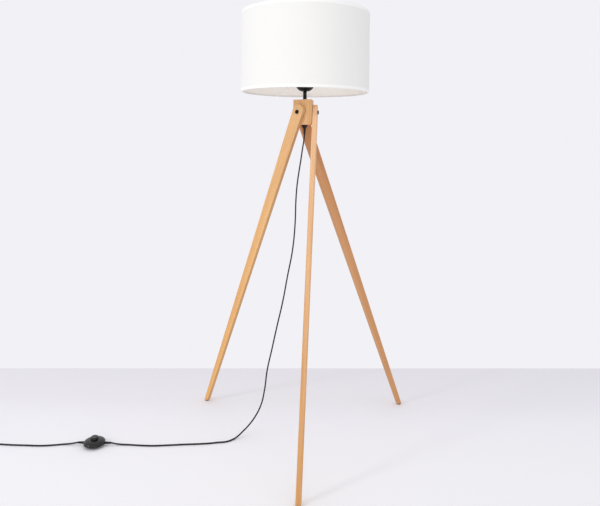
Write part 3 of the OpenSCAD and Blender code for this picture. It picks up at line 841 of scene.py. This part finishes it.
def make_bulb_cap():
    """The screw cap: four turns of rolled thread."""
    z0, z1 = z_of("bulb_cap")
    crest_r = r_of("bulb_cap")
    pitch, roll = 3.62, 0.55
    thread = []
    for k in range(4):
        for a in range(0, 360, 40):
            z = z0 + 2.6 + pitch * (k + a / 360)
            thread.append((crest_r - roll + roll * math.sin(math.radians(a)), z))
    outline = [(11, z0), (12.2, z0 + 1.4)] + thread
    outline += [(12.7, z1 - 0.6), (12.6, z1), (11.6, z1), (11.6, z0 + 1)]
    cap = lathe("bulb_cap_screw", outline, nickel, sides=72, radius=0.15, steps=1,
                smooth_angle=50)
    finish_piece(cap, "bulb", "nickel", "bulb_cap")


def make_bulb_stem():
    """The glass stem that holds the filaments: a flare that narrows upwards."""
    z0, z1 = z_of("bulb_stem")
    outline = [(0, z0, 0), (9, z0), (7.6, z0 + 3.5), (4.8, z0 + 8), (3.2, z0 + 15),
               (2.4, z0 + 28), (2.0, z1 - 2), (0, z1, 0)]
    stem = lathe("bulb_stem_glass", outline, bulb_clear, sides=48, radius=1.2)
    finish_piece(stem, "bulb", "bulb_glass", "bulb_stem")


make_bulb_glass()
make_bulb_cap()
make_bulb_stem()


# -------- shade

SHADE_SIDES = 192
# The radius that the hems' UVs are wrapped at, in metres
HEM_UV_R = 0.225


def ring_wall(name, r0, r1, z0, z1, material, edge=0.0, rows=1, start=0.0, sweep=FULL_TURN):
    """A cloth or sheet wall between two radii, in mm, with UVs in metres round and up it.
    It goes right round, or over sweep from start."""
    whole = sweep == FULL_TURN
    columns = SHADE_SIDES if whole else max(4, int(SHADE_SIDES * sweep / FULL_TURN) + 2)
    bm = bmesh.new()
    layer = bm.loops.layers.uv.new("cloth")
    heights = [z0 + (z1 - z0) * k / rows for k in range(rows + 1)]
    outside = [(r1 - edge, z0), (r1, z0 + edge)] if edge else [(r1, z0)]
    outside += [(r1, z) for z in heights[1:-1]]
    outside += [(r1, z1 - edge), (r1 - edge, z1)] if edge else [(r1, z1)]
    profile = outside + [(r0, z) for z in reversed(heights)]
    grid = []
    for k in range(columns if whole else columns + 1):
        a = start + sweep * k / columns
        grid.append([bm.verts.new((r * MM * math.cos(a), r * MM * math.sin(a), z * MM))
                     for r, z in profile])
    count = len(profile)
    for k in range(columns):
        a, b = grid[k], grid[(k + 1) % len(grid)]
        for i in range(count):
            j = (i + 1) % count
            face = bm.faces.new((a[i], b[i], b[j], a[j]))
            for loop, (column, row) in zip(face.loops, ((k, i), (k + 1, i), (k + 1, j), (k, j))):
                loop[layer].uv = (r1 * MM * sweep * column / columns,
                                  (profile[row][1] + profile[row][0]) * MM)
    if not whole:
        bm.faces.new(grid[0])
        bm.faces.new(grid[-1][::-1])
    return make_object(name, bm, material, 50)


def add_cloth_uvs(piece):
    """UVs in metres round and up a turned piece, for the weave."""
    mesh = piece.data
    layer = mesh.uv_layers.new(name="cloth")
    for polygon in mesh.polygons:
        base = math.atan2(polygon.center.y, polygon.center.x)
        for index in polygon.loop_indices:
            point = mesh.vertices[mesh.loops[index].vertex_index].co
            radius = math.hypot(point.x, point.y)
            turn = math.atan2(point.y, point.x)
            turn += FULL_TURN * round((base - turn) / FULL_TURN)
            layer.data[index].uv = (turn * HEM_UV_R, point.z + radius)


def make_hem(name, node, cloth_r):
    """Cloth folded over a rim: down the outside, across the rim and a little way inside."""
    low, high = z_of(node)
    out = r_of(node)
    fold_in = out - 7.5
    if node == "shade_top_hem":
        rim, lip, far, rise = high, high - 0.4, low, 0.15
    else:
        rim, lip, far, rise = low, low + 0.4, high, -0.15
    profile = [(cloth_r, far), (out - 0.12, far), (out, far + rise), (out, rim, 1.2),
               (fold_in, rim, 1.2), (fold_in, lip, 0.2), (cloth_r, lip, 0.2)]
    hem = lathe(name, profile, hem_white, sides=SHADE_SIDES, radius=0.1, steps=3,
                smooth_angle=50)
    add_cloth_uvs(hem)
    return finish_piece(hem, "shade", "shade_fabric", node)


def make_seam(cloth_r):
    """The tape over the cloth's join, at the back of the shade."""
    low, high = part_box("shade_seam_tape")
    middle = (low + high) / 2
    turn = math.atan2(middle.y, middle.x)
    half = 6.0 / cloth_r
    seam = ring_wall("shade_seam", cloth_r, cloth_r + 0.3, low.z / MM, high.z / MM, hem_white,
                     edge=0.1, rows=10, start=turn - half, sweep=2 * half)
    return finish_piece(seam, "shade", "shade_fabric", "shade_seam_tape")


def make_shade():
    """The drum: its cloth on a stiff liner, with hems and a seam."""
    z0, z1 = z_of("shade_fabric")
    r = r_of("shade_fabric")
    liner_r = r_of("shade_liner")
    cloth = ring_wall("shade_cloth", liner_r + 0.02, r, z0, z1, cloth_white, rows=14)
    finish_piece(cloth, "shade", "shade_fabric", "shade_fabric")
    liner = ring_wall("shade_liner_sheet", liner_r - 0.5, liner_r, z0, z1, liner_white, rows=14)
    finish_piece(liner, "shade", "shade_liner", "shade_liner")
    pieces = [make_hem("shade_hem_top", "shade_top_hem", r),
              make_hem("shade_hem_bottom", "shade_bottom_hem", r),
              make_seam(r)]


make_shade()


# -------- foot switch

SWITCH_PLACE = Matrix.Translation(SWITCH_AT)
SWITCH_R = r_of("switch_cover")
# The button's radius where it shows, inside the lip that keeps it in
KEY_R = r_of("switch_button") - 1.4
GLAND_LENGTH = 0.026


def make_switch_base():
    """The lower shell: a shallow tray up to the split line."""
    low, split = z_of("switch_base")
    r = SWITCH_R
    outline = [(0, low, 0), (r - 12, low, 4), (r - 1.6, split - 2.4, 3),
               (r - 0.1, split - 1.0, 0.5), (r - 0.1, split, 0.2), (r - 2, split, 0.2),
               (r - 3, split - 2), (r - 13, low + 2), (0, low + 2, 0)]
    base = lathe("switch_base_shell", outline, switch_black, SWITCH_PLACE, 128, 1.4)
    return finish_piece(base, "stand", "switch_black", "switch_base")


def make_switch_cover():
    """The upper shell: a low dome from the split line to the collar round the button."""
    split = z_of("switch_base")[1]
    top = z_of("switch_cover")[1]
    r, collar_r, wall = SWITCH_R, 13.6, 2
    dome_w, dome_h = r - collar_r, top - split - wall
    dome = arc(collar_r, split + wall, dome_w, dome_h, 6, 88, 6)
    inside = arc(collar_r - 1, split, dome_w - 1, dome_h, 84, 6, -12)
    outline = [(r - 0.5, split + 0.05, 0.2), (r, split + 0.7), (r, split + wall)] + dome
    outline += [(collar_r, top), (KEY_R + 0.3, top), (KEY_R + 0.3, top - wall)] + inside
    outline += [(r - wall, split + 0.05, 0.2)]
    cover = lathe("switch_cover_dome", outline, switch_black, SWITCH_PLACE, 128, 0.5, 3)
    return finish_piece(cover, "stand", "switch_black", "switch_cover")


def make_switch_button():
    """The round push button: slightly dished, with a spring seat and a lip under it."""
    low, high = z_of("switch_button")
    r = KEY_R
    outline = [(0, low + 2, 0), (9, low + 2), (9, low), (14, low), (14, low + 2), (r, low + 2),
               (r, high - 2.2), (r - 0.9, high - 0.7), (r - 2.6, high), (r - 4.6, high - 0.5),
               (0, high - 0.9, 0)]
    button = lathe("switch_push_button", outline, switch_black, SWITCH_PLACE, 96, 0.7)
    return finish_piece(button, "switch_button", "switch_black", "switch_button")


def make_switch_gland(name, side):
    """A strain relief on the switch's right, where side is 1, or on its left, where it is -1."""
    out = Vector((side, 0, 0))
    entry = Vector((SWITCH_AT.x, SWITCH_AT.y, ENTRY_Z))
    reach = (ENTRY_HIGH.x - ENTRY_LOW.x) / 2
    place = axes(entry + out * (reach - GLAND_LENGTH), Vector((0, side, 0)), UP, out)
    gland = relief(name, place, 4.0, CORD_R + 0.6, GLAND_LENGTH / MM)
    return finish_piece(gland, "stand", "lead_pvc", "switch_strain_reliefs")


switch_pieces = [make_switch_base(), make_switch_cover(), make_switch_button(),
                 make_switch_gland("switch_gland_right", 1)]
switch_left_gland = make_switch_gland("switch_gland_left", -1)


# -------- plug and tie

def make_plug():
    """A flat plug for two pins, its shoulders tapering to a strain relief."""
    low, high = PLUG_LOW, PLUG_HIGH
    back = Vector(((low.x + high.x) / 2, low.y, (low.z + high.z) / 2))
    half_w, length = (high.x - low.x) / 2 / MM, (high.y - low.y) / MM
    half_t = (high.z - low.z) / 2 / MM
    outline = rounded([(-5.5, 0), (5.5, 0), (9, 8), (half_w, 20), (half_w, length),
                       (-half_w, length), (-half_w, 20), (-9, 8)], 3.2, 5)
    body_at = axes(back, Vector((1, 0, 0)), Vector((0, 1, 0)), UP)
    body = slab("plug_body_shell", outline, -half_t, half_t, 3.4, plug_black, body_at, steps=6)
    finish_piece(body, "stand", "switch_black", "plug_body")
    gland_at = axes(back, Vector((1, 0, 0)), UP, Vector((0, -1, 0)))
    gland = relief("plug_gland", gland_at, 5.0, CORD_R + 0.7, (low.y - PLUG_FOOT) / MM, ribs=6)
    finish_piece(gland, "stand", "lead_pvc", "plug_strain_relief")
    return [body, gland]


def make_tie():
    """A flat strap that closes round the coil's turns."""
    low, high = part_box("cord_tie")
    centre = (low + high) / 2
    outward = Vector((centre.x - COIL_AT.x, centre.y - COIL_AT.y, 0)).normalized()
    place = axes(centre, outward, UP, UP.cross(outward))
    half_w, half_h = 9.0, (high.z - low.z) / 2 / MM
    thick, width = 0.8, 5.8
    outer = rounded([(-half_w, -half_h), (half_w, -half_h), (half_w, half_h), (-half_w, half_h)],
                    2.6, 6)
    inner = inset(outer, thick)
    bm = bmesh.new()
    loops = [[bm.verts.new((p.x * MM, p.y * MM, z * MM)) for p in ring]
             for ring, z in ((outer, -width / 2), (outer, width / 2),
                             (inner, width / 2), (inner, -width / 2))]
    count = len(outer)
    for a, b in zip(loops, loops[1:] + loops[:1]):
        for k in range(count):
            n = (k + 1) % count
            bm.faces.new((a[k], a[n], b[n], b[k]))
    bm.transform(place)
    strap = make_object("coil_tie_strap", bm, pvc_black, 40)
    return finish_piece(strap, "stand", "lead_pvc", "cord_tie")


plug_pieces = make_plug()
tie = make_tie()


# -------- pieces whose CAD shape stays

dress(brass, "hub_inserts", "holder_screws", "holder_centre_contact", "holder_thread_shell",
      "switch_terminals")
dress(fibre_dark, "friction_washers")
dress(black_steel, "leg_bolts", "stem_nut")
dress(zinc, "stem_tube", "switch_spring", "switch_screws")
dress(pvc_black, "lead_in_stem")
dress(wire_brown, "supply_wires")
dress(ceramic, "holder_block", "switch_block")
dress(holder_black, "shade_ring_nut")
dress(black_glass, "bulb_insulator")
dress(nickel, "bulb_contact", "plug_pins")
dress(filament_yellow, "bulb_filaments")
dress(white_steel, "shade_top_ring", "shade_bottom_ring", "shade_spider_arms", "shade_fitter_ring")
dress(pad_dark, "switch_pads")
dress(plug_black, "plug_pin_sleeves")


# -------- floor and light

# The floor in metres: its far edge behind the lamp and that edge's slant, its sides and its
# near edge, and its height, just under the feet
FLOOR_BACK, FLOOR_SLANT = 0.5503, 0.03105
FLOOR_SIDE, FLOOR_FRONT = 7, -8
FLOOR_Z = -0.0002
BACKDROP = (0.888, 0.880, 0.922)
SKY = (0.97, 0.98, 1.0)
SKY_LEFT, SKY_RIGHT = 0.95, 0.78
# Floor colour by how far back, in metres: painted light falloff, darker further back
FLOOR_PAINTED_FALLOFF = [(-0.43, (0.972, 0.959, 0.985)), (-0.30, (0.972, 0.959, 0.985)),
              (-0.20, (0.965, 0.952, 0.985)), (-0.08, (0.956, 0.941, 0.975)),
              (0.06, (0.938, 0.924, 0.965)), (0.22, (0.893, 0.872, 0.915)),
              (0.40, (0.874, 0.850, 0.895)), (0.52, (0.861, 0.833, 0.883))]


def make_floor():
    """A pale floor, painted darker further back as painted light falloff, that ends in a straight
    line behind the lamp.
    """
    bm = bmesh.new()
    corners = [(-FLOOR_SIDE, FLOOR_FRONT), (FLOOR_SIDE, FLOOR_FRONT),
               (FLOOR_SIDE, FLOOR_BACK + FLOOR_SIDE * FLOOR_SLANT),
               (-FLOOR_SIDE, FLOOR_BACK - FLOOR_SIDE * FLOOR_SLANT)]
    bm.faces.new([bm.verts.new((x, y, FLOOR_Z)) for x, y in corners])
    material, tree, shader = new_material("floor_pale")
    where = put(tree, "SeparateXYZ", {"Vector": put(tree, "TexCoord").outputs["Object"]})
    near, far = FLOOR_PAINTED_FALLOFF[0][0], FLOOR_PAINTED_FALLOFF[-1][0]
    depth = between(tree, where.outputs["Y"], 0.0, 1.0, near, far)
    # Painted shade: the floor's colour darkens further back
    falloff_grey = ramp(tree, depth, [((y - near) / (far - near), tint) for y, tint in FLOOR_PAINTED_FALLOFF])
    fill(tree, shader, {"Base Color": falloff_grey, "Roughness": 0.9, "Specular IOR Level": 0.1})
    floor = make_object("floor", bm, material)


def make_world():
    """An even pale backdrop, which lights the lamp more from the left than from the right."""
    world = bpy.data.worlds.new("backdrop")
    world.use_nodes = True
    tree = world.node_tree
    tree.nodes.clear()
    seen = put(tree, "Background", {"Color": (*BACKDROP, 1), "Strength": 1.0})
    toward = put(tree, "SeparateXYZ", {"Vector": put(tree, "TexCoord").outputs["Generated"]})
    strength = between(tree, toward.outputs["X"], SKY_LEFT, SKY_RIGHT, -1.0, 1.0)
    light = put(tree, "Background", {"Color": (*SKY, 1), "Strength": strength})
    path = put(tree, "LightPath")
    both = put(tree, "MixShader", {0: path.outputs["Is Camera Ray"], 1: light.outputs[0],
                                   2: seen.outputs[0]})
    out = tree.nodes.new("ShaderNodeOutputWorld")
    tree.links.new(both.outputs[0], out.inputs["Surface"])
    bpy.context.scene.world = world


def area_light(name, place, aim, size, power, colour, spread=180):
    """A round lamp at place, size metres across, that points at aim."""
    data = bpy.data.lights.new(name, "AREA")
    data.shape = "DISK"
    data.size = size
    data.energy = power
    data.color = colour
    data.spread = math.radians(spread)
    lamp = bpy.data.objects.new(name, data)
    lamp.location = place
    direction = Vector(aim) - Vector(place)
    lamp.rotation_mode = "QUATERNION"
    lamp.rotation_quaternion = direction.to_track_quat("-Z", "Y")
    bpy.context.scene.collection.objects.link(lamp)


make_floor()
make_world()
area_light("key_left", place=(-4.2, -2.7, 2.7), aim=(0, 0, 0.5), size=0.9, power=38,
           colour=(1.0, 0.985, 0.96))
area_light("fill_low", place=(0.1, -3.5, 0.65), aim=(0, 0, 1.15), size=1.8, power=3.7,
           colour=(1.0, 0.985, 0.965), spread=70)
bpy.context.scene.view_settings.view_transform = "Standard"
